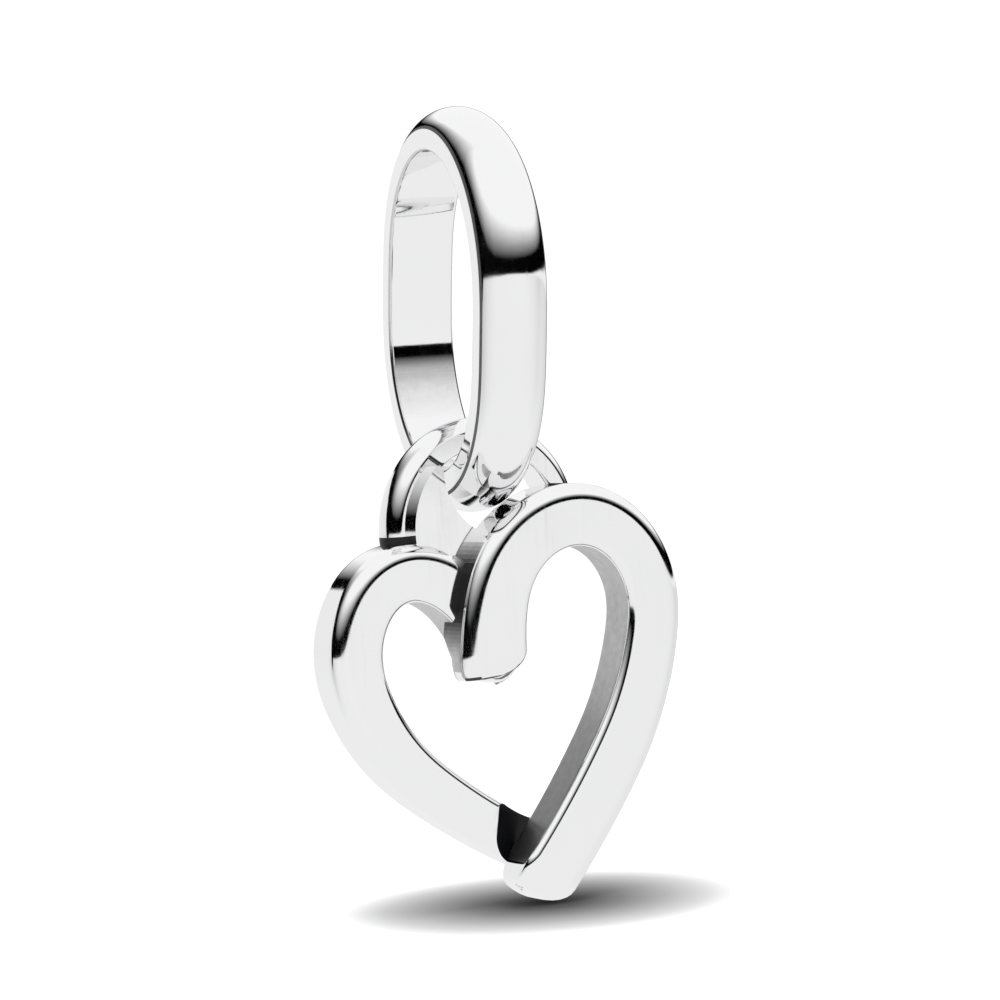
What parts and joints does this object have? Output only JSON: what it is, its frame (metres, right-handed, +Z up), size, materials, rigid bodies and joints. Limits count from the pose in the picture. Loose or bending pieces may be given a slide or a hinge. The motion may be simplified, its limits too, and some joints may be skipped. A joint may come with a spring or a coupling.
{
  "type": "dangle charm",
  "caption": "Open heart drawn as two overlapping strokes, hanging by its loop from an elongated oval bail, in polished silver.",
  "frame": {"origin": "inside top of the bail, in the middle of its band, where the charm hangs on a bracelet or chain", "axes": "+Z up, the heart faces -Y, turned 11 degrees about the vertical; the opening of the bail runs along X"},
  "size_m": [0.009, 0.0082, 0.0183],
  "materials": {
    "silver": "mirror polished sterling silver"
  },
  "bodies": {
    "bail": {"bail": "silver"},
    "heart": {"heart": "silver"}
  },
  "joints": [
    {"name": "heart_swing", "type": "hinge", "parent": "bail", "child": "heart", "pos_m": [0.0001, 0.00016, -0.0075], "axis": [-0.1908, 0.9816, 0], "range_deg": [-7, 7]}
  ]
}
